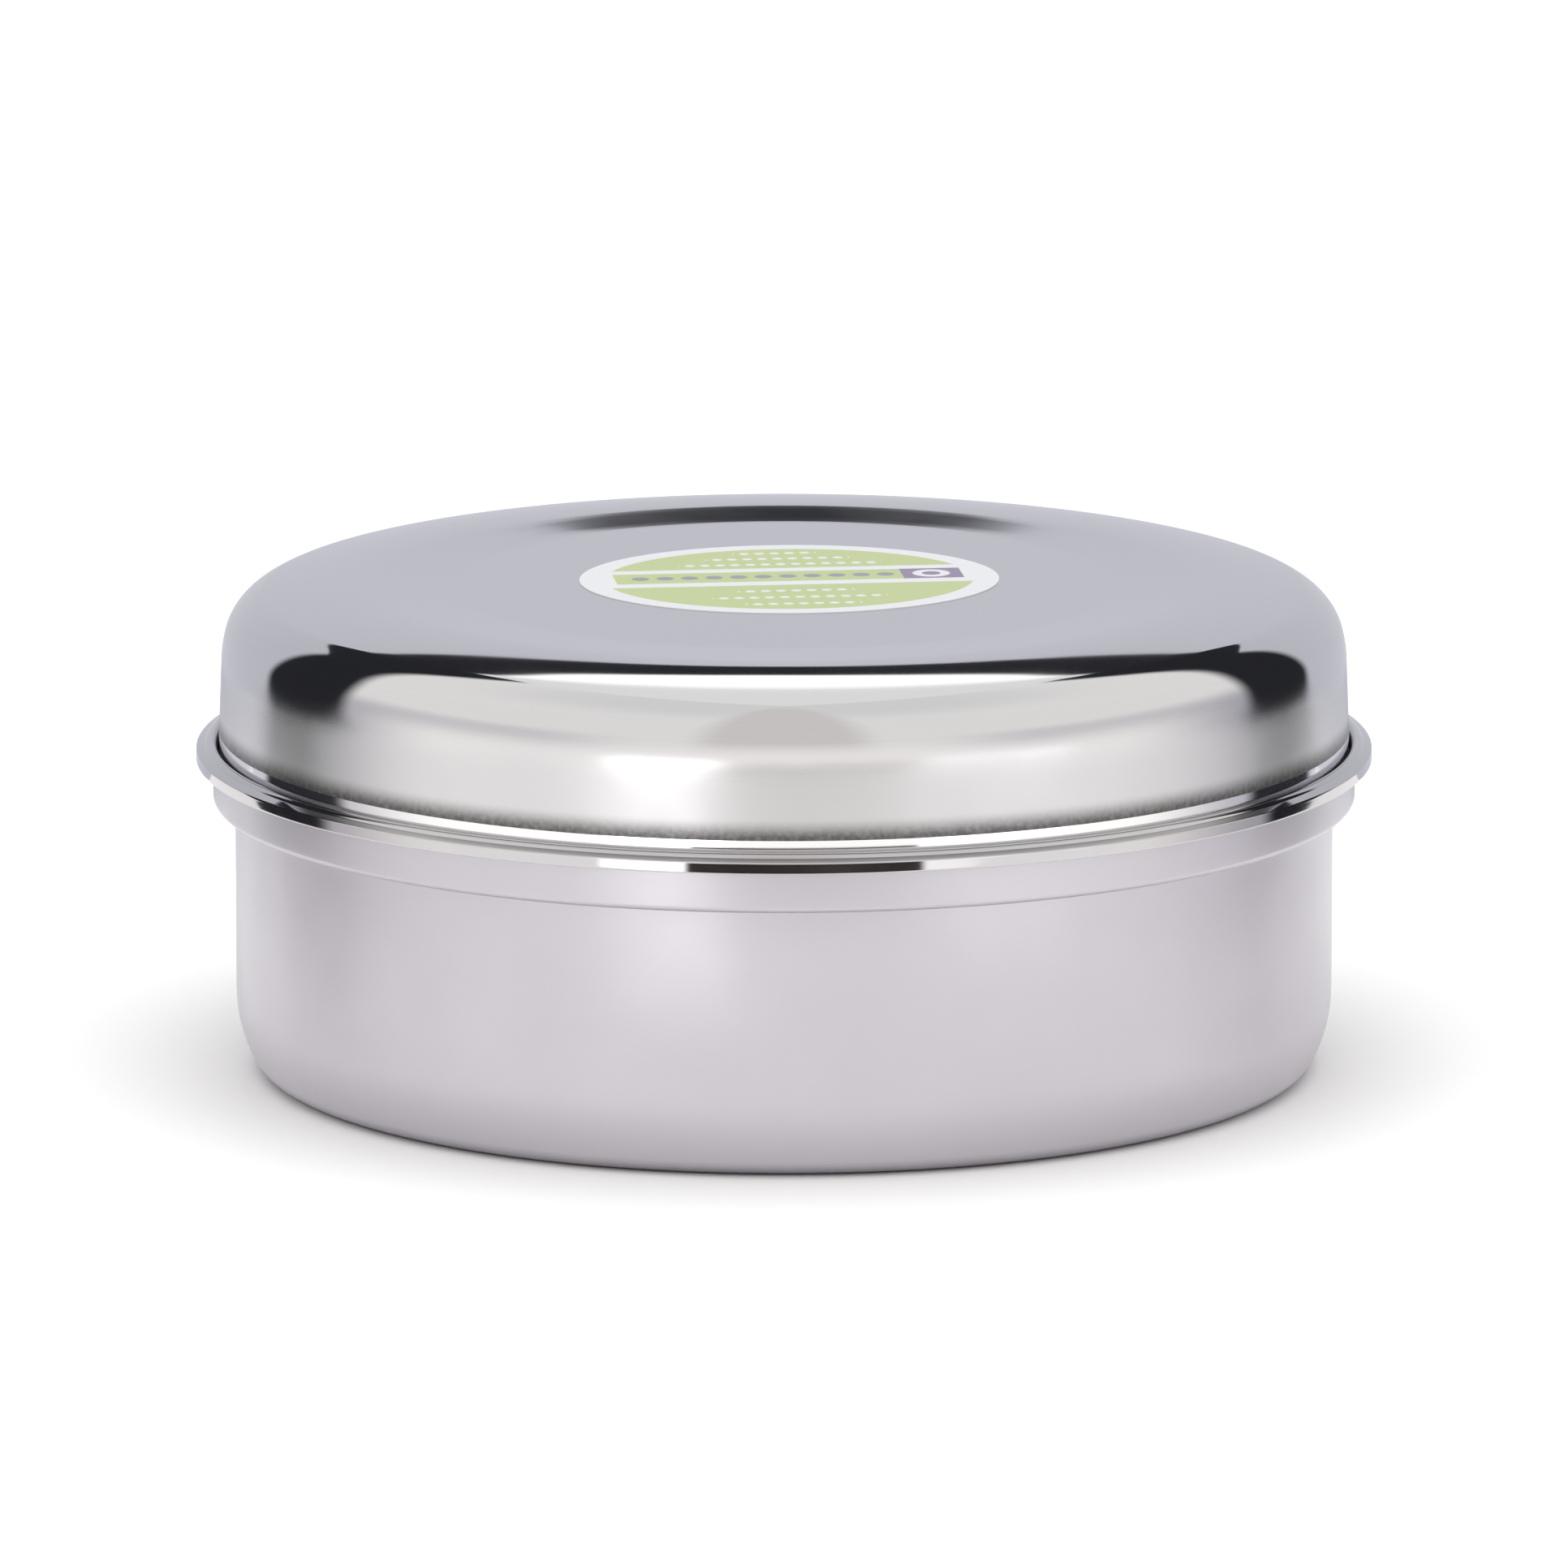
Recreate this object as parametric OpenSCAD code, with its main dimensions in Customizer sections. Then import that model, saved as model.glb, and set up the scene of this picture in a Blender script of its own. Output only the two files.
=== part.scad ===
/* [Box] */
// Diameter over the beaded rim
rim_d = 200; // [192:1:215]
// Outer radius of the box wall
wall_r = 93.4; // [92.9:0.1:94]
// Height of the step under the collar
step_z = 46.1; // [45.5:0.1:49]
// Height of the collar lip
lip_z = 56.45; // [56:0.1:60]
// Thickness of the drawn sheet of box, lid and plate
sheet = 0.6; // [0.5:0.05:0.7]

/* [Lid] */
// Height of the lid's crest above the table
lid_top_z = 83.3; // [82:0.1:95]
// Radius of the flat panel sunk in the lid
panel_r = 55; // [45:0.5:60]
// Fall of the shallow cone from the crest to the panel, in degrees
dish_slope = 2.6; // [1:0.1:4]
// Slack between the lid's skirt and the collar, on the radius
lid_slack = 0.4; // [0.3:0.05:0.5]
// Width of the oval label
label_w = 71.5; // [40:0.5:90]
// Depth of the oval label, front to back
label_h = 61; // [30:0.5:80]
// Turn of the label, which was stuck on by hand, in degrees
label_turn = 5; // [-10:0.5:10]

/* [Inner plate] */
// Radius of the plate's edge
plate_r = 94.8; // [94.2:0.1:95]
// Height of the plate's raised panel over its edge
plate_rise = 2; // [1:0.1:3]
// Height of the knob
knob_h = 15; // [10:0.5:20]
// Radius of the knob's head
knob_r = 9; // [7.5:0.5:12]

/* [Cups] */
// Number of cups round the centre one
ring_cups = 6; // [6]
// Diameter over a cup's rolled rim
cup_d = 60.5; // [56:0.1:60.6]
// Height of a cup
cup_h = 41; // [30:0.5:42]
// Gap between the rims of neighbouring cups
cup_gap = 0.8; // [0.6:0.1:1]

/* [Spoons] */
// Length of a spoon
spoon_l = 112; // [100:1:120]
// Length of its bowl
bowl_l = 26; // [22:1:28]
// Width of its bowl
bowl_w = 19; // [14:1:20]
// Depth of its bowl
bowl_depth = 5.5; // [5:0.25:6.5]
// Distance of each spoon from the middle line
spoon_off = 8; // [6.5:0.5:9]

/* [Hidden] */
$fn = 96;
STEPS = 8;                                  // straight stretches in a rounded bend
rest_gap = 0.1;                             // gap under whatever stands on something

bead_r = 0.9;                               // rolled edge of the rim
under_bend = 0.2;                           // sharp bend from the wall out into the step
step_bend = 1.5;                            // bend from the step up into the collar
lip_bend = 0.3;                             // bend from the collar out into the rim
collar_r = wall_r + 3.75;                   // outer face of the collar
flange_slope = 32;                          // degrees that the rim falls outwards
bead_at = [rim_d / 2 - bead_r, lip_z - 2.03];
floor_bend = [86.6, 4.4];                   // tight bend at the edge of the floor
heel_angle = 28;                            // where the tight bend meets the slow one
heel_r = 24;                                // slow bend from the floor up to the wall
heel_bend = [wall_r - heel_r, 13.6];

skirt_r = collar_r - sheet - lid_slack;     // outer face of the lid's skirt
skirt_z = step_z + sheet + 0.4;             // the skirt stands in the collar's bend
skirt_taper = 0.5;
shoulder = [skirt_r - skirt_taper, lid_top_z - 13.7];    // top of the straight skirt
// Bends from the skirt up to the crest, each with its radius and the angle where it ends.
lid_bends = [[21.5, 14], [9.8, 68], [4.6, 79.5], [92, 90]];
dish_bend = 60;                             // soft bends at both ends of the cone
label_at = [0.9, 4.5];                      // label's centre, off the lid's axis
label_t = 0.15;

plate_t = sheet;
plate_z = step_z + sheet + rest_gap;
plate_edge_w = 4;                           // flat edge that lies on the step
plate_bend = 2.5;                           // both bends of the rise
plate_top = plate_z + plate_rise + plate_t;
rivet_r = 1.5;

cup_t = 0.5;
cup_bead_r = 0.75;
cup_wall_r = cup_d / 2 - 1.05;              // outer face of a cup at its top
cup_foot_r = cup_wall_r - 0.4;              // and just above its bottom bend
cup_bend = 9;
cup_z = sheet + rest_gap;
cup_pitch = cup_d + cup_gap;

spoon_t = 1.2;
spoon_z = cup_z + cup_h + rest_gap;         // underside of a spoon's handle
bowl_t = 0.8;

// Points round a bend of radius r about c, between two angles in degrees.
function bend(c, r, from, to) =
    [for (i = [0 : STEPS]) let (a = from + (to - from) * i / STEPS) c + r * [cos(a), sin(a)]];

// The same points from last to first.
function reversed(points) = [for (i = [len(points) - 1 : -1 : 0]) points[i]];

// A revolved sheet: one face out along its path, and back along the other.
module spun_sheet(face, back) {
    rotate_extrude() polygon(concat(face, reversed(back)));
}

// Box section from the middle of the floor to the rim, d inside the outer face.
function box_path(d) = concat(
    [[0, d]],
    bend(floor_bend, floor_bend[1] - d, -90, -heel_angle),
    bend(heel_bend, heel_r - d, -heel_angle, 0),
    bend([wall_r + under_bend, step_z - under_bend], under_bend + d, 180, 90),
    bend([collar_r - step_bend, step_z + step_bend], step_bend - d, -90, 0),
    bend([collar_r + lip_bend, lip_z - lip_bend - sheet], lip_bend + d, 180, 90 - flange_slope),
    [bead_at + (lip_bend + d) * [sin(flange_slope), cos(flange_slope)]]);

// Outer box, drawn in one piece: floor, wall, step, collar and beaded rim.
module box_body() {
    color("lightgray") {
        spun_sheet(box_path(0), box_path(sheet));
        rotate_extrude() translate(bead_at) circle(bead_r);
    }
}

// Centre of lid bend i, so that each bend runs on from the one before.
function lid_centre(i) = i == 0 ? shoulder - [lid_bends[0][0], 0] :
    let (a = lid_bends[i - 1][1], step = lid_bends[i - 1][0] - lid_bends[i][0])
    lid_centre(i - 1) + step * [cos(a), sin(a)];

// Top of the crest, and the panel that the cone falls to.
crest = lid_centre(3) + [0, lid_bends[3][0]];
panel_z = crest[1] - 2 * dish_bend * (1 - cos(dish_slope))
    - (crest[0] - panel_r - 2 * dish_bend * sin(dish_slope)) * tan(dish_slope);

// Lid section from the middle of the panel to the foot of the skirt, d inside.
function lid_path(d) = concat(
    [[0, panel_z - d]],
    bend([panel_r, panel_z + dish_bend], dish_bend + d, -90, -90 + dish_slope),
    bend(crest - [0, dish_bend], dish_bend - d, 90 + dish_slope, 90),
    [for (i = [3 : -1 : 0], p = bend(lid_centre(i), lid_bends[i][0] - d,
        lid_bends[i][1], i == 0 ? 0 : lid_bends[i - 1][1])) p],
    [[skirt_r - d, skirt_z]]);

// Lid, drawn in one piece: sunk panel, crest, shoulder and skirt.
module lid() {
    color("gainsboro") spun_sheet(lid_path(0), lid_path(sheet));
}

// Printed oval label on the lid's panel.
module label() {
    color("yellowgreen")
        translate([label_at[0], label_at[1], panel_z]) rotate(label_turn) linear_extrude(label_t)
        polygon([for (a = [0 : 5 : 355]) [label_w / 2 * cos(a), label_h / 2 * sin(a)]]);
}

// Plate section from its middle to its edge, d above the lower face.
function plate_path(d) =
    let (foot = plate_r - plate_edge_w, a = acos(1 - plate_rise / (2 * plate_bend)))
    concat(
        [[rivet_r, plate_z + plate_rise + d]],
        bend([foot - 2 * plate_bend * sin(a), plate_z + plate_rise - plate_bend], plate_bend + d,
            90, 90 - a),
        bend([foot, plate_z + plate_bend], plate_bend - d, 270 - a, 270),
        [[plate_r, plate_z + d]]);

// Inner plate that lies on the box's step and shuts the cups.
module inner_plate() {
    color("silver") spun_sheet(plate_path(0), plate_path(plate_t));
}

// Turned knob in the middle of the plate, with a blind hole for its rivet.
module plate_knob() {
    foot_r = 6.5;
    neck_r = 4;
    color("silver") translate([0, 0, plate_top]) rotate_extrude() difference() {
        union() {
            square([foot_r, 1.2]);
            square([neck_r, knob_h - 1]);
            intersection() {
                translate([0, knob_h - knob_r]) circle(knob_r);
                translate([0, knob_h - 7]) square([knob_r, 7]);
            }
        }
        square([rivet_r, 8]);
    }
}

// Rivet from under the plate up into the knob.
module knob_rivet() {
    head_r = 3.5;
    head_t = 0.8;
    color("dimgray") translate([0, 0, plate_top - plate_t]) {
        translate([0, 0, -head_t]) cylinder(r = head_r, h = head_t);
        cylinder(r = rivet_r, h = plate_t + 7.5);
    }
}

// Cup section from the middle of its bottom to its rim, d inside the outer face.
function cup_path(d) = concat(
    [[0, d]],
    bend([cup_foot_r - cup_bend, cup_bend], cup_bend - d, -90, 0),
    [[cup_wall_r - d, cup_h - cup_bead_r]]);

// Spice cup with a rolled rim.
module cup() {
    color("silver") {
        spun_sheet(cup_path(0), cup_path(cup_t));
        rotate_extrude() translate([cup_d / 2 - cup_bead_r, cup_h - cup_bead_r]) circle(cup_bead_r);
    }
}

module cup_centre() {
    translate([0, 0, cup_z]) cup();
}

// One of the cups round the centre one, counted from the right and anticlockwise.
module cup_ring(n) {
    rotate((n - 1) * 360 / ring_cups) translate([cup_pitch, 0, cup_z]) cup();
}

// Small pressed spoon along X, its bowl centred on the origin and its handle towards -X.
module spoon() {
    handle_end = bowl_l / 2 - spoon_l;
    difference() {
        scale([bowl_l / 2, bowl_w / 2, bowl_depth]) sphere(1, $fn = 40);
        scale([bowl_l / 2 - bowl_t, bowl_w / 2 - bowl_t, bowl_depth - bowl_t]) sphere(1, $fn = 40);
        translate([-bowl_l, -bowl_w, 0]) cube([2 * bowl_l, 2 * bowl_w, bowl_depth + 1]);
    }
    translate([0, 0, -spoon_t]) linear_extrude(spoon_t) hull() {
        translate([-bowl_l / 2, 0]) circle(1.8, $fn = 24);
        translate([handle_end + 4.5, 0]) circle(4.5, $fn = 32);
    }
}

// The two spoons lie head to tail across the cups, each with its bowl in one cup's mouth.
module spoon_1() {
    color("silver") translate([cup_pitch, spoon_off, spoon_z + spoon_t]) spoon();
}

module spoon_2() {
    color("silver") rotate(180) translate([cup_pitch, spoon_off, spoon_z + spoon_t]) spoon();
}

box_body();
lid();
label();
inner_plate();
plate_knob();
knob_rivet();
cup_centre();
cup_ring(1);  // cup_ring_1
cup_ring(2);  // cup_ring_2
cup_ring(3);  // cup_ring_3
cup_ring(4);  // cup_ring_4
cup_ring(5);  // cup_ring_5
cup_ring(6);  // cup_ring_6
spoon_1();
spoon_2();
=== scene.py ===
import math

import bpy
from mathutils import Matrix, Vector


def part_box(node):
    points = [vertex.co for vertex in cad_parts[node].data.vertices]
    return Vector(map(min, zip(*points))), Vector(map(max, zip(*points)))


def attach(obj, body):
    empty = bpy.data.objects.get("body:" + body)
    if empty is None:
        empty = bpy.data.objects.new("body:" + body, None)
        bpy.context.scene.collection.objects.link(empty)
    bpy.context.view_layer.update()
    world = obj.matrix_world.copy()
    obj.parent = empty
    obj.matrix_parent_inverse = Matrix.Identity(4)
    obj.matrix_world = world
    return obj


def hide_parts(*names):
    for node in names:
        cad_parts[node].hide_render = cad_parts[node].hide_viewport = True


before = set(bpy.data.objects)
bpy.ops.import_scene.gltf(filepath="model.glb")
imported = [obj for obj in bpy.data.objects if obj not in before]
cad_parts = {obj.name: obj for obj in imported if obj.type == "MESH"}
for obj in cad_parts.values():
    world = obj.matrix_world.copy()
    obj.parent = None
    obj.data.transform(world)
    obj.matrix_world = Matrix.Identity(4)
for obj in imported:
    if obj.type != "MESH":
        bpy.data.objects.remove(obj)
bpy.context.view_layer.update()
bpy.ops.object.select_all(action="DESELECT")

# ---------------------------------------------------------------------------
# Studio: a long lens about 3 m away, a little above the box, a plain white
# table and a tent of soft light with a grey-blue backdrop behind the table.
# Polished steel shows little but its surroundings, so they are laid out in full.
mm = 0.001
lens_height = 11.6
camera_distance = 3.0
lens_centre = Vector((0, 0, 0.0481))
frame_width = 267 * mm

camera = bpy.data.objects.new("camera", bpy.data.cameras.new("camera"))
bpy.context.scene.collection.objects.link(camera)
bpy.context.scene.camera = camera
tilt = math.radians(lens_height)
camera.location = lens_centre + camera_distance * Vector((0, -math.cos(tilt), math.sin(tilt)))
camera.rotation_euler = (math.radians(90 - lens_height), 0, 0)
camera.data.sensor_width = 36
camera.data.lens = 36 * camera_distance / frame_width
camera.data.clip_end = 100


def colour(hex_value):
    """sRGB hex to the linear colour that a shader takes."""
    channels = [int(hex_value[i:i + 2], 16) / 255 for i in (1, 3, 5)]
    return tuple(c / 12.92 if c <= 0.04045 else ((c + 0.055) / 1.055) ** 2.4 for c in channels) + (1,)


def add(tree, kind, inputs=(), **settings):
    """Adds a shader node; each input is a value, or an output to link from."""
    made = tree.nodes.new("ShaderNode" + kind)
    for name, value in settings.items():
        setattr(made, name, value)
    for socket, value in dict(inputs).items():
        if isinstance(value, bpy.types.NodeSocket):
            tree.links.new(value, made.inputs[socket])
        else:
            made.inputs[socket].default_value = value
    return made


def sum_of(tree, operation, *values):
    """One Math node on values or outputs."""
    return add(tree, "Math", enumerate(values), operation=operation).outputs[0]


def between(tree, value, low, high, soft):
    """1 where value lies from low to high, fading to 0 over soft at each side."""
    up = add(tree, "MapRange", {0: value, 1: low - soft / 2, 2: low + soft / 2},
             interpolation_type="SMOOTHSTEP").outputs[0]
    down = add(tree, "MapRange", {0: value, 1: high - soft / 2, 2: high + soft / 2, 3: 1, 4: 0},
               interpolation_type="SMOOTHSTEP").outputs[0]
    return sum_of(tree, "MULTIPLY", up, down)


def tinted(tree, base, mask, over):
    """over where mask is 1, base where it is 0."""
    mixed = add(tree, "Mix", {"Factor": mask}, data_type="RGBA")
    for socket, value in ((6, base), (7, over)):
        if isinstance(value, bpy.types.NodeSocket):
            tree.links.new(value, mixed.inputs[socket])
        else:
            mixed.inputs[socket].default_value = value
    return mixed.outputs[2]


def light(level, tint="#FFFFFF"):
    """A surrounding's brightness, tinted."""
    return tuple(level * c for c in colour(tint)[:3]) + (1,)


world = bpy.data.worlds.new("light_tent")
bpy.context.scene.world = world
world.use_nodes = True
tent = world.node_tree
tent.nodes.clear()
heading = add(tent, "SeparateXYZ", {0: add(tent, "TexCoord").outputs["Generated"]})
bearing = sum_of(tent, "DEGREES", sum_of(tent, "ARCTAN2", heading.outputs[0], heading.outputs[1]))
turn = sum_of(tent, "ABSOLUTE", bearing)
rise = sum_of(tent, "DEGREES", sum_of(tent, "ARCSINE", heading.outputs[2]))
height = sum_of(tent, "MAXIMUM", rise, 0)
arch_power = 2.6


def arched(middle, half_width, top):
    """Under 1 inside an arch that stands on the horizon, with its size in degrees."""
    aside = sum_of(tent, "ABSOLUTE", sum_of(tent, "SUBTRACT", bearing, middle))
    across = sum_of(tent, "POWER", sum_of(tent, "DIVIDE", aside, half_width), arch_power)
    up = sum_of(tent, "POWER", sum_of(tent, "DIVIDE", height, top), arch_power)
    return sum_of(tent, "ADD", across, up)


# Walls of the tent, paler in front and dimmer overhead and low at the sides.
walls = light(1.0, "#FFFEFC")
walls = tinted(tent, walls, between(tent, rise, 62, 200, 25), light(0.88))
low_side = sum_of(tent, "MULTIPLY", between(tent, turn, 50, 140, 30), between(tent, rise, -200, 12, 20))
walls = tinted(tent, walls, low_side, light(0.56, "#F6F4FF"))
behind_camera = sum_of(tent, "MULTIPLY", between(tent, turn, 163, 400, 10), between(tent, rise, 8, 85, 16))
walls = tinted(tent, walls, behind_camera, light(0.86, "#F8F4F2"))
front_low = sum_of(tent, "MULTIPLY", between(tent, turn, 90, 400, 40), between(tent, rise, -60, 6, 20))
walls = tinted(tent, walls, front_low, light(1.2, "#FFFCFA"))
# Dark room seen past the backdrop, as an arch round it.
walls = tinted(tent, walls, between(tent, arched(-4, 75, 51), -1, 1, 0.2), light(0.03, "#E8ECFF"))
# Softbox over the backdrop, a cone that widens upwards from a blunt tip.
lamp_tip, lamp_spread, tip_squared = 21.3, 0.7, 0.36
lamp_edge = sum_of(tent, "MULTIPLY", sum_of(tent, "SUBTRACT", rise, lamp_tip), lamp_spread)
rounded = sum_of(tent, "SQRT", sum_of(tent, "ADD", sum_of(tent, "POWER", turn, 2), tip_squared))
lamp = between(tent, sum_of(tent, "SUBTRACT", lamp_edge, rounded), 0, 400, 0.8)
walls = tinted(tent, walls, lamp, light(1.0))
lamp_face = sum_of(tent, "MULTIPLY", lamp, between(tent, rise, -100, 30, 6))
walls = tinted(tent, walls, lamp_face, light(1.6))
# Grey-blue backdrop, its top edge lowest in the middle where the lamp's stand is.
edge_foot, edge_slope, edge_limit = 21.55, 0.42, 33.5
dip_depth, dip_width = 8, 3
dip = sum_of(tent, "MULTIPLY", sum_of(tent, "EXPONENT", sum_of(tent, "DIVIDE", rounded, -dip_width)),
             -dip_depth)
backdrop_top = sum_of(tent, "ADD", sum_of(tent, "MULTIPLY", turn, edge_slope),
                      sum_of(tent, "ADD", dip, edge_foot))
backdrop_top = sum_of(tent, "SMOOTH_MIN", backdrop_top, edge_limit, 4)
backdrop = sum_of(tent, "MULTIPLY", between(tent, arched(-2, 48, 39), -1, 1, 0.2),
                  between(tent, sum_of(tent, "SUBTRACT", rise, backdrop_top), -400, 0, 0.35))
walls = tinted(tent, walls, backdrop, light(1.0, "#D2D3DC"))
# In front, past the table's edge, two window lamps either side of the dark shape behind the camera.
past_table = between(tent, rise, -17, -9.5, 2)
for left, right, level in ((-162, -144, 2.2), (118, 154, 1.5)):
    window = sum_of(tent, "MULTIPLY", past_table, between(tent, bearing, left, right, 2))
    walls = tinted(tent, walls, window, light(level))
either_side = between(tent, bearing, -161, 153, 2)
walls = tinted(tent, walls, sum_of(tent, "MULTIPLY", past_table, sum_of(tent, "SUBTRACT", 1.0, either_side)),
               light(0.04, "#FFF0E8"))
# The same windows as the satin sees them, higher up and softer.
for left, right, level in ((-167, -145, 4.0), (120, 150, 2.1)):
    glow = sum_of(tent, "MULTIPLY", between(tent, rise, -9, -4.5, 2.5),
                  between(tent, bearing, left, right, 9))
    walls = tinted(tent, walls, glow, light(level))
add(tent, "OutputWorld", {0: add(tent, "Background", {0: walls, 1: 1.0}).outputs[0]})


def paper_white(name):
    """Matt white board, with the faint unevenness of paper."""
    made = bpy.data.materials.new(name)
    made.use_nodes = True
    tree = made.node_tree
    paper = tree.nodes["Principled BSDF"]
    spread = add(tree, "TexNoise", {0: add(tree, "TexCoord").outputs["Object"], "Scale": 3.0, "Detail": 3.0})
    tree.links.new(tinted(tree, colour("#F4F4F4"), spread.outputs[0], colour("#F7F7F7")),
                   paper.inputs["Base Color"])
    paper.inputs["Roughness"].default_value = 0.9
    paper.inputs["Specular IOR Level"].default_value = 0.1
    return made


bpy.ops.mesh.primitive_circle_add(vertices=96, radius=20, fill_type="NGON", location=(0, 0, -0.2 * mm))
floor = bpy.context.object
floor.name = "floor"
floor.data.materials.append(paper_white("floor_paper"))
floor.visible_glossy = False
bpy.ops.mesh.primitive_plane_add(size=1, location=(0, -0.05, 0))
table = bpy.context.object
table.name = "table_top"
table.scale = (0.62, 0.53, 1)
table.data.materials.append(paper_white("table_paper"))
table.visible_camera = False
table.visible_diffuse = False
table.visible_shadow = False

bpy.ops.object.light_add(type="AREA", location=(0, 0, 3))
top_light = bpy.context.object
top_light.name = "top_light"
top_light.data.shape = "DISK"
top_light.data.size = 4
top_light.data.energy = 60
top_light.visible_glossy = False
bpy.context.scene.view_settings.view_transform = "Standard"
bpy.ops.object.select_all(action="DESELECT")

# ---------------------------------------------------------------------------
# Box: one deep drawing of 0.6 mm stainless steel, with a slow bend up from its
# floor, a step that carries the plate, a collar for the lid and a flange that is
# rolled at its lip and folded tight at its edge. The wall is satin, the flange polished.
box_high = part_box("box_body")[1]
rim_r = box_high.x / mm
lip_z = box_high.z / mm
sheet = 0.6
floor_r = 86.6
floor_bend, floor_turn = 4.4, 28
side_bend, side_z = 24, 13.6
wall_r = 93.4
step_z = 46.1
step_foot = 0.2
step_round = 1.1
collar_r = 97.15
flange_fall = 22
hem_t = 2 * sheet
hem_z = lip_z - 3.1
hem_round = 0.15
hem_bend = 0.4
hem_lean = 0.012
hem_top = (rim_r - 0.25, lip_z - 1.34)
hem_top_round = 0.24
lip_inside = 0.3
lip_bend = 0.9
lip_at = (collar_r + lip_inside, lip_z - lip_bend)
lip_round = 1.3
lip_foot = 35


def bend(centre, radius, start, end):
    """Points in mm round a bend, between two angles in degrees, about 5 degrees or 1.5 mm apart."""
    steps = max(3, math.ceil(abs(end - start) / 5),
                math.ceil(radius * math.radians(abs(end - start)) / 1.5))
    turns = [math.radians(start + (end - start) * i / steps) for i in range(steps + 1)]
    return [(centre[0] + radius * math.cos(a), centre[1] + radius * math.sin(a)) for a in turns]


def straight(start, end, steps):
    """Points in mm along a straight stretch, its ends left out."""
    return [(start[0] + (end[0] - start[0]) * i / steps, start[1] + (end[1] - start[1]) * i / steps)
            for i in range(1, steps)]


def spun(name, outline, around=240, crease=40):
    """Spins a closed outline of (radius, height) in mm round the upright axis."""
    bpy.ops.mesh.primitive_plane_add(size=mm)
    piece = bpy.context.object
    piece.name = piece.data.name = name
    bpy.ops.object.mode_set(mode="EDIT")
    bpy.ops.mesh.select_all(action="SELECT")
    bpy.ops.mesh.merge(type="CENTER")
    bpy.ops.transform.translate(value=(outline[0][0] * mm, 0, outline[0][1] * mm))
    for here, there in zip(outline, outline[1:]):
        step = ((there[0] - here[0]) * mm, 0, (there[1] - here[1]) * mm)
        bpy.ops.mesh.extrude_region_move(TRANSFORM_OT_translate={"value": step})
    bpy.ops.mesh.select_all(action="SELECT")
    bpy.ops.mesh.spin(steps=around, angle=math.tau, center=(0, 0, 0), axis=(0, 0, 1))
    bpy.ops.mesh.select_all(action="SELECT")
    bpy.ops.mesh.remove_doubles(threshold=0.002 * mm)
    bpy.ops.mesh.normals_make_consistent(inside=False)
    bpy.ops.object.mode_set(mode="OBJECT")
    bpy.ops.object.shade_smooth_by_angle(angle=math.radians(crease))
    bpy.ops.object.select_all(action="DESELECT")
    return piece


def box_face(d):
    """The box's section from its floor to the flange, d inside the outer face."""
    outline = [(0, d)] + straight((0, d), (floor_r, d), 12)
    outline += bend((floor_r, floor_bend), floor_bend - d, -90, -floor_turn)
    outline += bend((wall_r - side_bend, side_z), side_bend - d, -floor_turn, 0)
    outline += straight((wall_r - d, side_z), (wall_r - d, step_z - step_foot), 12)
    outline += bend((wall_r + step_foot, step_z - step_foot), step_foot + d, 180, 90)
    outline += bend((collar_r - step_round, step_z + step_round), step_round - d, -90, 0)
    outline += straight((collar_r - d, step_z + step_round), (collar_r - d, lip_at[1]), 6)
    if d == 0:
        outline += bend(lip_at, lip_inside, 180, 90 - flange_fall)
    return outline


# The flange is folded back under itself, so its edge is an upright face two sheets thick.
hem_foot = (rim_r, hem_z + hem_round)
hem_head = (rim_r - hem_lean, hem_top[1])
hem_inner_top = (rim_r - hem_t, lip_z - 1.25)
hem = ([hem_inner_top, (rim_r - hem_t, hem_z + hem_bend)]
       + bend((rim_r - hem_t + hem_bend, hem_z + hem_bend), hem_bend, 180, 270)
       + bend((rim_r - hem_round, hem_z + hem_round), hem_round, -90, 0)
       + straight(hem_foot, hem_head, 8) + bend(hem_top, hem_top_round, 0, 90 - flange_fall))
# The lip is rolled over in two bends, with a small hollow where it meets the flange.
lip_outside = (lip_at[0], lip_z - lip_round)
foot_bend = 0.4
foot_turn = math.radians(lip_foot)
foot_at = (lip_at[0] + (lip_round + foot_bend) * math.cos(foot_turn),
           lip_outside[1] + (lip_round + foot_bend) * math.sin(foot_turn))
lip = (bend(foot_at, foot_bend, 270 - flange_fall, 180 + lip_foot)
       + bend(lip_outside, lip_round, lip_foot, 90) + bend(lip_at, lip_bend, 90, 180)[1:])
box_body = spun("box_shell", box_face(0) + hem + lip + box_face(sheet)[::-1])


def distance(tree, across, along):
    """The root of the sum of the two squares."""
    return sum_of(tree, "SQRT", sum_of(
        tree, "ADD", sum_of(tree, "POWER", across, 2), sum_of(tree, "POWER", along, 2)))


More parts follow.
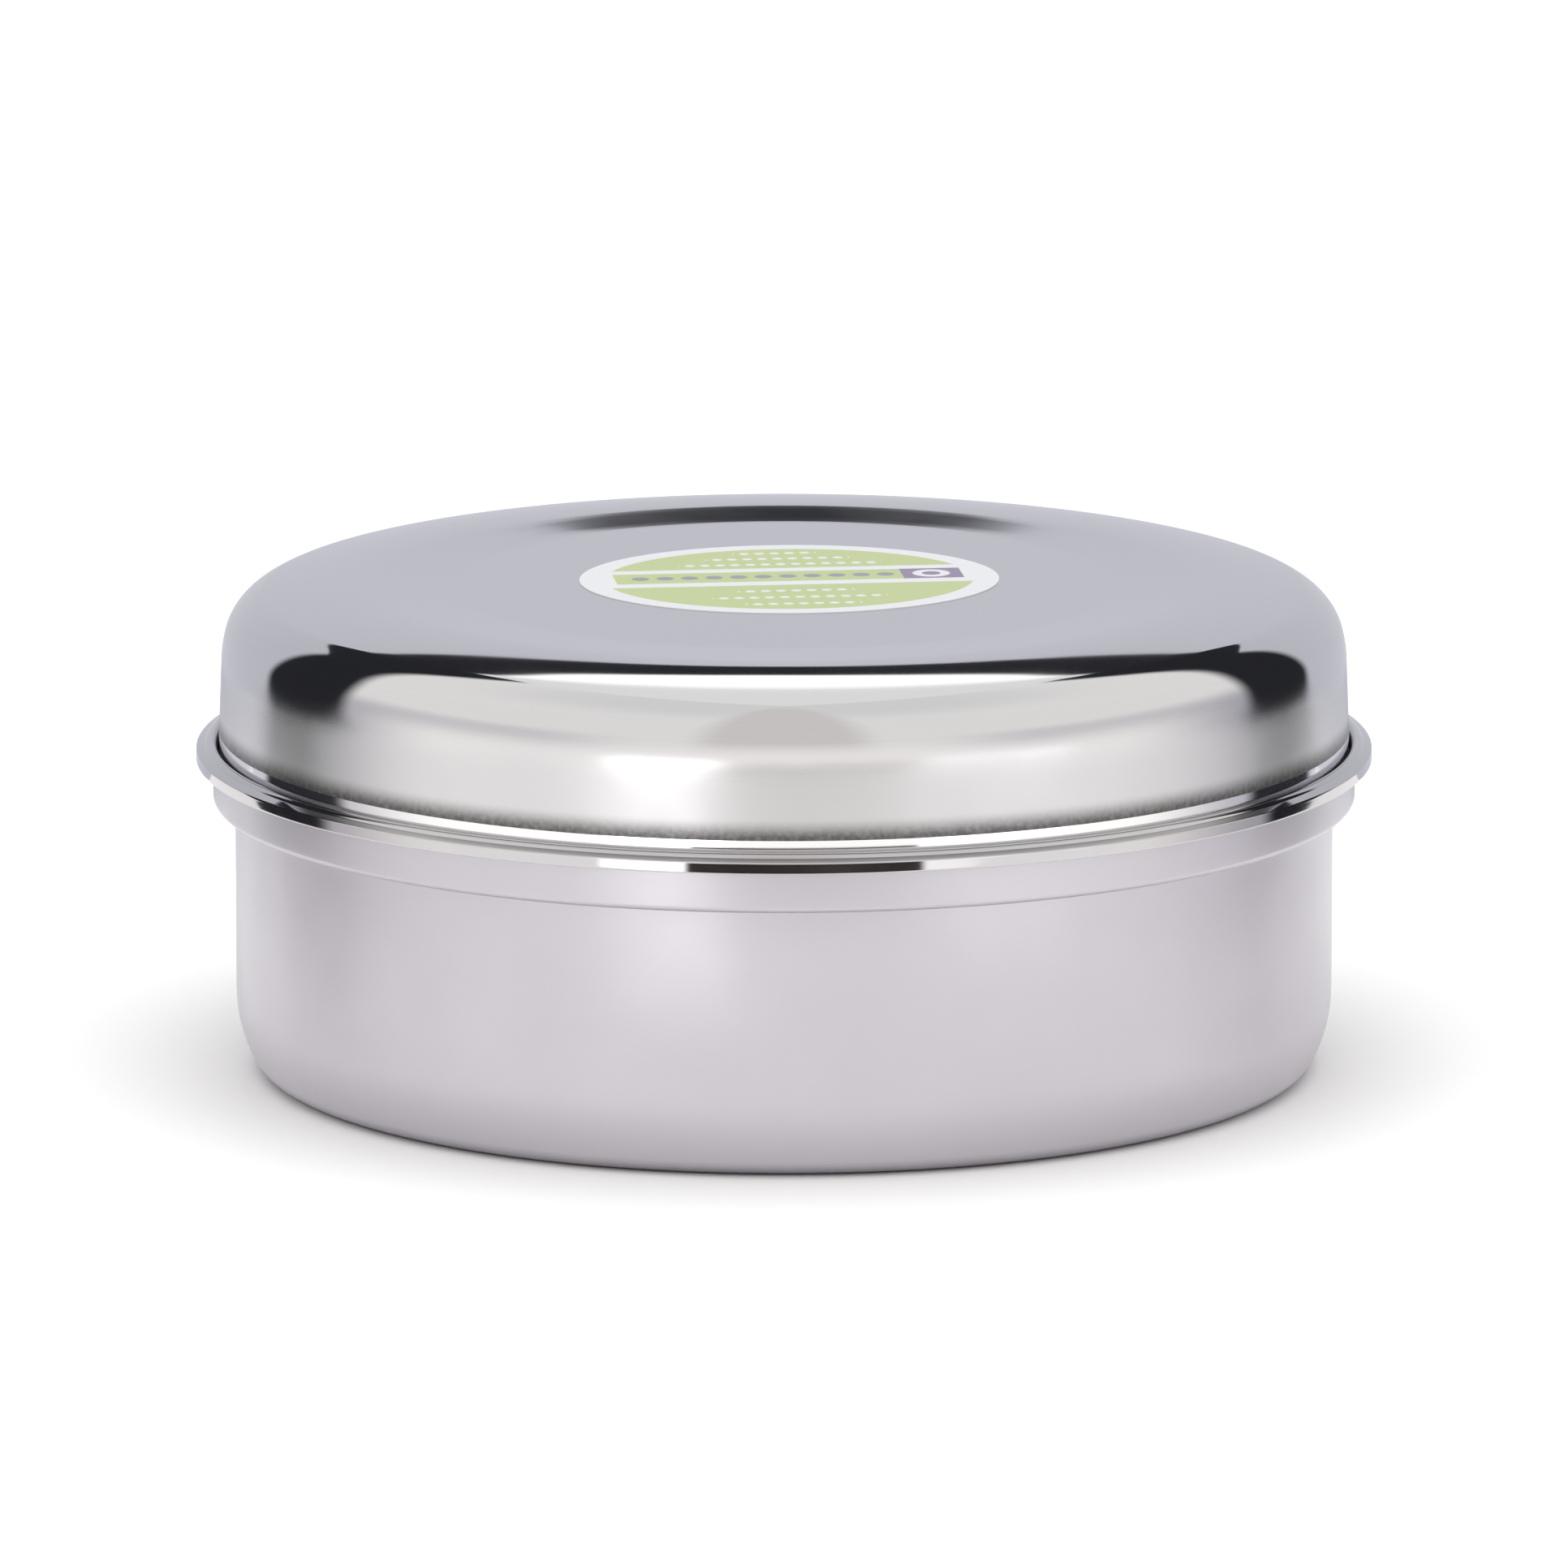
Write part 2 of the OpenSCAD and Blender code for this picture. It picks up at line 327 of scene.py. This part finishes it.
def stainless(name, tint, roughness, lines=0.0, waviness=0.0, blotch=0.0, anisotropy=0.0,
              line_gap=0.35, buffed=None, paste_and_shade_heights=None):
    """Stainless steel with the roughness of its finish, polishing lines round the piece and slow
    waves. buffed gives two heights in mm and the roughness reached at the upper one. The last
    argument gives the height where a dark band begins, the one where it is darkest, and the one
    down to which the steel below it is rubbed bright. The dark band is painted shade where the
    skirt goes into the box's collar, with real polishing grit mixed in."""
    made = bpy.data.materials.new(name)
    made.use_nodes = True
    tree = made.node_tree
    steel = tree.nodes["Principled BSDF"]
    steel.inputs["Metallic"].default_value = 1.0
    steel.inputs["Anisotropic"].default_value = anisotropy
    place = add(tree, "TexCoord").outputs["Object"]
    axes = add(tree, "SeparateXYZ", {0: place})
    radius = distance(tree, axes.outputs[0], axes.outputs[1])
    # Lines round the piece run with its radius on the flat and with its height on a wall.
    across = sum_of(tree, "ADD", radius, axes.outputs[2])
    rows = add(tree, "CombineXYZ", {0: across, 1: 0.0, 2: 0.0})
    fine = add(tree, "TexNoise", {0: rows.outputs[0], "Scale": 1 / (line_gap * mm), "Detail": 2.0})
    clouds = add(tree, "TexNoise", {0: place, "Scale": 1 / (35 * mm), "Detail": 3.0})
    blotches = sum_of(tree, "MULTIPLY", sum_of(tree, "SUBTRACT", clouds.outputs[0], 0.5), 1.2 * blotch)
    uneven_tone = sum_of(tree, "ADD", sum_of(tree, "MULTIPLY", fine.outputs[0], 0.5), blotches)
    tone = tinted(tree, colour(tint), uneven_tone, light(0.93, tint))
    # Painted shade: a band darker towards the skirt's foot, where it goes into the collar, with real
    # polishing grit mixed in.
    if paste_and_shade_heights:
        undarkened_above, darkest, rubbed_to = (level * mm for level in paste_and_shade_heights)
        grit = add(tree, "TexNoise", {0: place, "Scale": 1 / (0.9 * mm), "Detail": 4.0})
        depth = add(tree, "MapRange", {0: axes.outputs[2], 1: undarkened_above, 2: darkest, 3: 0.0, 4: 1.0},
                    interpolation_type="SMOOTHSTEP")
        cleaned = sum_of(tree, "LESS_THAN", axes.outputs[2], darkest)
        rubbed = sum_of(tree, "MULTIPLY", cleaned,
                        sum_of(tree, "GREATER_THAN", axes.outputs[2], rubbed_to))
        cover = add(tree, "MapRange", {0: grit.outputs[0], 1: 0.3, 2: 0.6, 3: 0.74, 4: 0.88})
        paste_and_shade = sum_of(tree, "MULTIPLY", sum_of(tree, "SUBTRACT", depth.outputs[0], cleaned),
                      cover.outputs[0])
        # The dark colour is painted shade mixed with real polishing grit; the pale one is the strip rubbed
        # bright.
        tone = tinted(tree, tinted(tree, tone, paste_and_shade, colour("#3A3733")), rubbed, colour("#EEEEEE"))
    tree.links.new(tone, steel.inputs["Base Color"])
    uneven = add(tree, "MapRange", {0: clouds.outputs[0], 1: 0.3, 2: 0.7,
                                    3: roughness * (1 - blotch), 4: roughness * (1 + blotch)},
                 interpolation_type="SMOOTHSTEP").outputs[0]
    if buffed:
        low, high, bright = buffed
        shine = add(tree, "MapRange", {0: axes.outputs[2], 1: low * mm, 2: high * mm, 3: 1.0,
                                       4: bright / roughness}, interpolation_type="SMOOTHSTEP")
        uneven = sum_of(tree, "MULTIPLY", uneven, shine.outputs[0])
    if paste_and_shade_heights:
        smoothed = sum_of(tree, "SUBTRACT", 1.0, sum_of(tree, "MULTIPLY", rubbed, 0.8))
        uneven = sum_of(tree, "MULTIPLY", uneven, smoothed)
    tree.links.new(uneven, steel.inputs["Roughness"])
    waves = add(tree, "TexNoise", {0: place, "Scale": 1 / (22 * mm), "Detail": 1.0})
    relief = sum_of(tree, "ADD", sum_of(tree, "MULTIPLY", fine.outputs[0], lines * mm),
                    sum_of(tree, "MULTIPLY", waves.outputs[0], waviness * mm))
    tree.links.new(add(tree, "Bump", {"Height": relief, "Distance": 1.0, "Strength": 1.0}).outputs[0],
                   steel.inputs["Normal"])
    if anisotropy:
        tree.links.new(add(tree, "Tangent", direction_type="RADIAL", axis="Z").outputs[0],
                       steel.inputs["Tangent"])
        steel.inputs["Anisotropic Rotation"].default_value = 0.25
    return made


# Mirror polish, as on the flange: buffed, with barely any lines.
mirror_steel = stainless("mirror_polished_stainless", "#CBC9CA", 0.05, lines=0.0003,
                         waviness=0.01, blotch=0.3)
# Satin polish, as on the wall: a fine wheel run round the box blurs it mostly up and down.
satin_steel = stainless("satin_polished_stainless", "#CBC7CD", 0.34, lines=0.0015, waviness=0.01,
                        blotch=0.12, anisotropy=0.6)
for finish in (mirror_steel, satin_steel):
    box_body.data.materials.append(finish)
for face in box_body.data.polygons:
    face.material_index = int(math.hypot(face.center.x, face.center.y) < (collar_r + 0.01) * mm)
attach(box_body, "box")
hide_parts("box_body")

# ---------------------------------------------------------------------------
# Lid: a second drawing with a soft shoulder and a shallow dish in its top. The
# top is buffed to a mirror, and the skirt is left satin where it slips into the
# collar.
lid_low, lid_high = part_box("lid")
skirt_z = lid_low.z / mm
skirt_r = lid_high.x / mm
crest_z = lid_high.z / mm
panel_r = 55
dish_slope = 2.6
dish_bend = 60
seat_z = skirt_z + 9.95
flare_in, flare_rise = 0.13, 3
shoulder_in, shoulder_fall = 0.5, 13.7
# Each bend of the shoulder from the skirt up: its radius, and the angle it ends at.
shoulder_bends = ((21.5, 14), (9.8, 68), (4.6, 79.5), (92, 90))


def lid_face(d):
    """The lid's section from the middle of its panel to the foot of its skirt, d inside."""
    centre = [skirt_r - shoulder_in - shoulder_bends[0][0], crest_z - shoulder_fall]
    bends = [(tuple(centre), shoulder_bends[0][0], 0, shoulder_bends[0][1])]
    for (outer, at), (inner, until) in zip(shoulder_bends, shoulder_bends[1:]):
        centre[0] += (outer - inner) * math.cos(math.radians(at))
        centre[1] += (outer - inner) * math.sin(math.radians(at))
        bends.append((tuple(centre), inner, at, until))
    crest = (centre[0], centre[1] + shoulder_bends[-1][0])
    slope = math.radians(dish_slope)
    fall = (crest[0] - panel_r - 2 * dish_bend * math.sin(slope)) * math.tan(slope)
    panel_z = crest[1] - 2 * dish_bend * (1 - math.cos(slope)) - fall
    hollow = bend((panel_r, panel_z + dish_bend), dish_bend + d, -90, -90 + dish_slope)
    crown = bend((crest[0], crest[1] - dish_bend), dish_bend - d, 90 + dish_slope, 90)
    points = [(0, panel_z - d)] + straight((0, panel_z - d), (panel_r, panel_z - d), 16) + hollow
    points += straight(hollow[-1], crown[0], 4) + crown
    for centre, radius, start, end in bends[::-1]:
        points += bend(centre, radius - d, end, start)[1:]
    seat = (skirt_r - d, seat_z)
    flare = (seat[0] - flare_in, seat_z + flare_rise)
    foot = (seat[0], skirt_z)
    return (points + straight(points[-1], flare, 8) + [flare] + straight(flare, seat, 12) + [seat]
            + straight(seat, foot, 40) + [foot])


lid_shell = spun("lid_shell", lid_face(0) + lid_face(sheet)[::-1])
# The lid goes from a mirror on its top to satin on its skirt. Above the strip that the box's lip
# rubs bright, a dark band is painted shade where the skirt goes into the collar, with real polishing paste
# mixed in.
lid_steel = stainless("buffed_stainless", "#D9D8D9", 0.36, lines=0.0003, waviness=0.012, blotch=0.2,
                      anisotropy=0.6, buffed=(crest_z - 17, crest_z - 7, 0.05),
                      paste_and_shade_heights=(skirt_z + 14.9, skirt_z + 11.1, skirt_z + 8.6))
lid_shell.data.materials.append(lid_steel)
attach(lid_shell, "lid")
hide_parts("lid")

# ---------------------------------------------------------------------------
# Label: an oval paper sticker on the lid's panel, printed in pale green with
# white bands and a mauve square, and stuck on by hand a little askew.
label_low, label_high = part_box("label")
label_turn = math.radians(5)
label_centre = (label_low + label_high) / 2
label_half = (71.5 / 2, 61 / 2)
label_t = label_high.z - label_low.z

bpy.ops.mesh.primitive_circle_add(vertices=128, radius=1, fill_type="TRIFAN")
label = bpy.context.object
label.name = label.data.name = "printed_label"
bpy.ops.object.mode_set(mode="EDIT")
bpy.ops.mesh.select_all(action="SELECT")
bpy.ops.transform.resize(value=(label_half[0] * mm, label_half[1] * mm, 1))
bpy.ops.transform.rotate(value=-label_turn, orient_axis="Z", center_override=(0, 0, 0))
bpy.ops.transform.translate(value=(label_centre.x, label_centre.y, label_low.z))
bpy.ops.mesh.extrude_region_move(TRANSFORM_OT_translate={"value": (0, 0, label_t)})
bpy.ops.mesh.select_all(action="SELECT")
bpy.ops.mesh.normals_make_consistent(inside=False)
bpy.ops.object.mode_set(mode="OBJECT")
bpy.ops.object.shade_smooth_by_angle(angle=math.radians(30))
bpy.ops.object.select_all(action="DESELECT")

label_paper = bpy.data.materials.new("coated_label_paper")
label_paper.use_nodes = True
tree = label_paper.node_tree
paper = tree.nodes["Principled BSDF"]
print_turn = math.radians(6.5)
on_label = add(tree, "Mapping", {
    "Vector": add(tree, "TexCoord").outputs["Object"],
    "Location": (label_centre.x, label_centre.y, 0), "Rotation": (0, 0, print_turn)},
    vector_type="TEXTURE")
sides = add(tree, "SeparateXYZ", {0: on_label.outputs[0]})
along = sum_of(tree, "DIVIDE", sides.outputs[0], mm)
upward = sum_of(tree, "DIVIDE", sides.outputs[1], mm)
oval = distance(tree, sum_of(tree, "DIVIDE", along, label_half[0]),
                sum_of(tree, "DIVIDE", upward, label_half[1]))
bar_foot, bar_top, bar_end, square_start, square_end = -2.0, 6.7, -29.6, 19.5, 29.8
bar_middle = (bar_foot + bar_top) / 2
emblem_at = 24.6
white_band = between(tree, upward, -5.3, 9.7, 0.2)
segments = sum_of(tree, "MULTIPLY", between(tree, oval, -1, 0.88, 0.008),
                  sum_of(tree, "SUBTRACT", 1.0, white_band))
on_bar = between(tree, upward, bar_foot, bar_top, 0.2)
bar = sum_of(tree, "MULTIPLY", on_bar, between(tree, along, bar_end, square_start, 0.2))
square = sum_of(tree, "MULTIPLY", on_bar, between(tree, along, square_start, square_end, 0.2))
hatch = add(tree, "TexWave", {0: on_label.outputs[0], "Scale": 0.35 / mm, "Distortion": 0.0},
            bands_direction="DIAGONAL")
green = tinted(tree, colour("#AFBD85"), sum_of(tree, "MULTIPLY", hatch.outputs[1], 0.3), colour("#BCC898"))
fibres = add(tree, "TexNoise", {0: on_label.outputs[0], "Scale": 1 / (0.8 * mm), "Detail": 4.0})
print_white = tinted(tree, colour("#DADBDE"), sum_of(tree, "MULTIPLY", fibres.outputs[0], 0.4),
                     colour("#CFD0D4"))


def dots(spacing, rows, radius):
    """Rows of round dots in mm, each row's height with the half length that it runs to."""
    found = 0.0
    beside = sum_of(tree, "PINGPONG", along, spacing / 2)
    for row, half in rows:
        near = distance(tree, beside, sum_of(tree, "SUBTRACT", upward, row))
        dot = sum_of(tree, "MULTIPLY", between(tree, near, -1, radius, 0.25),
                     between(tree, along, -half, half, 0.1))
        found = sum_of(tree, "MAXIMUM", found, dot)
    return found


printed = tinted(tree, print_white, segments, green)
printed = tinted(tree, printed, bar, green)
printed = tinted(tree, printed, square, colour("#857893"))
small_dots = dots(2.6, ((13.2, 17.5), (18.2, 12.4), (23, 7.2), (-10.5, 9.9), (-16.2, 15), (-22, 9.9)), 0.85)
printed = tinted(tree, printed, small_dots, print_white)
large_dots = sum_of(tree, "MULTIPLY", bar, dots(4.2, ((bar_middle, 27),), 1.5))
printed = tinted(tree, printed, large_dots, colour("#8A8C94"))
emblem = distance(tree, sum_of(tree, "SUBTRACT", along, emblem_at),
                  sum_of(tree, "SUBTRACT", upward, bar_middle))
printed = tinted(tree, printed, between(tree, emblem, 1.6, 3.2, 0.3), print_white)
tree.links.new(printed, paper.inputs["Base Color"])
paper.inputs["Roughness"].default_value = 0.4
tree.links.new(add(tree, "Bump", {"Height": fibres.outputs[0], "Distance": 0.02 * mm}).outputs[0],
               paper.inputs["Normal"])
label.data.materials.append(label_paper)
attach(label, "lid")
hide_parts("label")

# ---------------------------------------------------------------------------
# Inner plate, knob and rivet: a flat pressed plate that lies on the step and
# shuts the cups, lifted by a turned knob that a rivet holds from below.
plate_low, plate_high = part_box("inner_plate")
knob_low, knob_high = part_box("plate_knob")
rivet_low, rivet_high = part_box("knob_rivet")
plate_z = plate_low.z / mm
plate_r = plate_high.x / mm
plate_rise = 2
plate_bend = 2.5
plate_margin = 4
rivet_r = 1.5


def plate_face(d):
    """The plate's section from the rivet hole to its edge, d above the lower face."""
    foot = plate_r - plate_margin
    turn_of_rise = math.degrees(math.acos(1 - plate_rise / (2 * plate_bend)))
    run = 2 * plate_bend * math.sin(math.radians(turn_of_rise))
    top = bend((foot - run, plate_z + plate_rise - plate_bend), plate_bend + d, 90, 90 - turn_of_rise)
    hole = (rivet_r, plate_z + plate_rise + d)
    edge = (plate_r, plate_z + d)
    rise = bend((foot, plate_z + plate_bend), plate_bend - d, 270 - turn_of_rise, 270)
    return [hole] + straight(hole, top[0], 14) + top + rise + straight(rise[-1], edge, 3) + [edge]


plate = spun("inner_plate_sheet", plate_face(0) + plate_face(sheet)[::-1] + plate_face(0)[:1])
plate_steel = stainless("brushed_plate_stainless", "#D8D6D4", 0.2, lines=0.002, waviness=0.02, blotch=0.2)
plate.data.materials.append(plate_steel)
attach(plate, "inner_plate")
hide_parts("inner_plate")

knob_z = knob_low.z / mm
knob_top = knob_high.z / mm
knob_r = knob_high.x / mm
head_z = knob_top - 7
head_r = knob_r * 0.9
knob_foot_r, knob_foot_t, knob_foot_round = 6.2, 1.2, 0.3
neck_r, neck_bend, neck_top_bend = 4.0, 1.2, 1.0
head_round, dome_from = 0.5, 24
bore_top = knob_z + 8
knob_outline = ([(rivet_r, knob_z), (knob_foot_r, knob_z)]
                + bend((knob_foot_r, knob_z + knob_foot_round), knob_foot_round, -90, 0)
                + bend((knob_foot_r, knob_z + knob_foot_t - knob_foot_round), knob_foot_round, 0, 90)
                + bend((neck_r + neck_bend, knob_z + knob_foot_t + neck_bend), neck_bend, 270, 180)
                + bend((neck_r + neck_top_bend, head_z - neck_top_bend), neck_top_bend, 180, 90)
                + [(head_r - 0.4, head_z)]
                + bend((head_r + 0.1, head_z + head_round), head_round, -90, 10)
                + bend((0, knob_top - knob_r), knob_r, dome_from, 90)
                + [(0, bore_top), (rivet_r, bore_top), (rivet_r, knob_z)])
knob = spun("turned_knob", knob_outline, around=96)
knob_steel = stainless("turned_knob_stainless", "#DAD8D6", 0.1, lines=0.001, blotch=0.3, line_gap=0.25)
knob.data.materials.append(knob_steel)
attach(knob, "inner_plate")
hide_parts("plate_knob")

rivet_z = rivet_low.z / mm
rivet_top = rivet_high.z / mm
rivet_head_r = rivet_high.x / mm
rivet_flat_r, rivet_round, rivet_head_t, rivet_bevel = 2.2, 0.5, 0.8, 0.3
rivet = spun("knob_rivet_pin", [(0, rivet_z), (rivet_flat_r, rivet_z)]
             + bend((rivet_head_r - rivet_round, rivet_z + rivet_round), rivet_round, -90, 0)
             + [(rivet_head_r, rivet_z + rivet_head_t), (rivet_r, rivet_z + rivet_head_t),
                (rivet_r, rivet_top - rivet_bevel), (rivet_r - rivet_bevel, rivet_top),
                (0, rivet_top)], around=64)
rivet_steel = stainless("rivet_stainless", "#B9B6B3", 0.3, lines=0.001, blotch=0.3, line_gap=0.2)
rivet.data.materials.append(rivet_steel)
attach(rivet, "inner_plate")
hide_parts("knob_rivet")

# ---------------------------------------------------------------------------
# Cups: seven drawn cups with rolled rims, one in the middle and six round it,
# all alike. Inside they are left as drawn, with a fine satin grain.
cup_low, cup_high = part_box("cup_centre")
cup_r = cup_high.x / mm
cup_z = cup_low.z / mm
cup_top = cup_high.z / mm
cup_sheet = 0.5
cup_bead = 0.75
cup_wall_r = cup_r - 1.05
cup_wall_top = cup_top - 1.3
cup_taper = 0.4
cup_bend = 9


def cup_face(d):
    """A cup's section from the middle of its bottom to its rim, d inside the outer face."""
    foot = (cup_wall_r - cup_taper - cup_bend, cup_z + cup_bend)
    corner = bend(foot, cup_bend - d, -90, 0)
    top = (cup_wall_r - d, cup_wall_top)
    flat = [(0, cup_z + d)] + straight((0, cup_z + d), corner[0], 5)
    return flat + corner + straight(corner[-1], top, 6)


def rolled_rim(radius, start, end):
    """The rim's roll at that radius about its bead."""
    return bend((cup_r - cup_bead, cup_top - cup_bead), radius, start, end)


cup = spun("cup_1", cup_face(0) + rolled_rim(cup_bead - cup_sheet, 180, -150)
           + rolled_rim(cup_bead, -150, 180) + cup_face(cup_sheet)[::-1], around=128)
cup_steel = stainless("satin_cup_stainless", "#D6D4D2", 0.26, lines=0.0015, waviness=0.01, blotch=0.2)
cup.data.materials.append(cup_steel)
cups = {"cup_centre": cup}
for number in range(1, 7):
    ring_cup = cup.copy()
    ring_cup.data = cup.data.copy()
    cups[f"cup_ring_{number}"] = ring_cup
for number, (node, piece) in enumerate(cups.items(), 1):
    if piece is not cup:
        bpy.context.scene.collection.objects.link(piece)
        low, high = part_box(node)
        middle = (low + high) / 2
        for vertex in piece.data.vertices:
            vertex.co.x += middle.x
            vertex.co.y += middle.y
    piece.name = piece.data.name = f"cup_{number}"
    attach(piece, node)
    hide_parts(node)

# ---------------------------------------------------------------------------
# Spoons: two small pressed spoons that lie head to tail on the cups, each with
# its bowl down in one cup's mouth and its handle across the middle cup.
spoon_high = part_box("spoon_1")[1]
bowl_l, bowl_w, bowl_depth = 26, 19, 5.5
spoon_y = 8
spoon_x = spoon_high.x / mm - bowl_l / 2
spoon_rim_z = spoon_high.z / mm
spoon_t = 0.8
neck_half = 4

bpy.ops.mesh.primitive_uv_sphere_add(segments=32, ring_count=16, radius=1)
spoon = bpy.context.object
spoon.name = spoon.data.name = "spoon_a"
bpy.ops.object.mode_set(mode="EDIT")
bpy.ops.mesh.select_all(action="SELECT")
bpy.ops.mesh.bisect(plane_co=(0, 0, 0), plane_no=(0, 0, 1), clear_outer=True)
bpy.ops.mesh.select_all(action="SELECT")
bpy.ops.transform.resize(value=(bowl_l / 2 * mm, bowl_w / 2 * mm, bowl_depth * mm),
                         center_override=(0, 0, 0))
bpy.ops.object.mode_set(mode="OBJECT")
# The rim's edges at the back of the bowl, which the handle grows from.
for edge in spoon.data.edges:
    ends = [spoon.data.vertices[v].co for v in edge.vertices]
    edge.select = all(abs(p.z) < 0.01 * mm and p.x < 0 and abs(p.y) < neck_half * mm for p in ends)
for vertex in spoon.data.vertices:
    vertex.select = False
for edge in spoon.data.edges:
    if edge.select:
        for v in edge.vertices:
            spoon.data.vertices[v].select = True
for face in spoon.data.polygons:
    face.select = False
bpy.ops.object.mode_set(mode="EDIT")
bpy.ops.mesh.select_mode(type="EDGE")
handle_x = -bowl_l / 2
# Handle stations: how far along it, and how wide it is there against the last one.
for at, wider in ((-17, 0.62), (-24, 1.0), (-45, 1.22), (-70, 1.25), (-90, 1.2), (-96, 0.95), (-98.6, 0.6)):
    step = (at - handle_x) * mm
    handle_x = at
    bpy.ops.mesh.extrude_region_move(TRANSFORM_OT_translate={"value": (step, 0, 0)})
    bpy.ops.transform.resize(value=(0.4 if at > -20 else 1, wider, 1))
bpy.ops.mesh.select_all(action="SELECT")
bpy.ops.mesh.normals_make_consistent(inside=False)
bpy.ops.transform.translate(value=(spoon_x * mm, spoon_y * mm, spoon_rim_z * mm))
bpy.ops.object.mode_set(mode="OBJECT")
wall = spoon.modifiers.new("wall", "SOLIDIFY")
wall.thickness = spoon_t * mm
wall.offset = -1
bpy.ops.object.modifier_apply(modifier="wall")
smooth = spoon.modifiers.new("smooth", "SUBSURF")
smooth.levels = smooth.render_levels = 2
bpy.ops.object.modifier_apply(modifier="smooth")
bpy.ops.object.shade_smooth_by_angle(angle=math.radians(50))
spoon_steel = stainless("pressed_spoon_stainless", "#DAD8D6", 0.16, lines=0.0008, waviness=0.02, blotch=0.3)
spoon.data.materials.append(spoon_steel)
second = spoon.copy()
second.data = spoon.data.copy()
second.name = second.data.name = "spoon_b"
bpy.context.scene.collection.objects.link(second)
for vertex in second.data.vertices:
    vertex.co.x, vertex.co.y = -vertex.co.x, -vertex.co.y
for piece, node in ((spoon, "spoon_1"), (second, "spoon_2")):
    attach(piece, node)
    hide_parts(node)
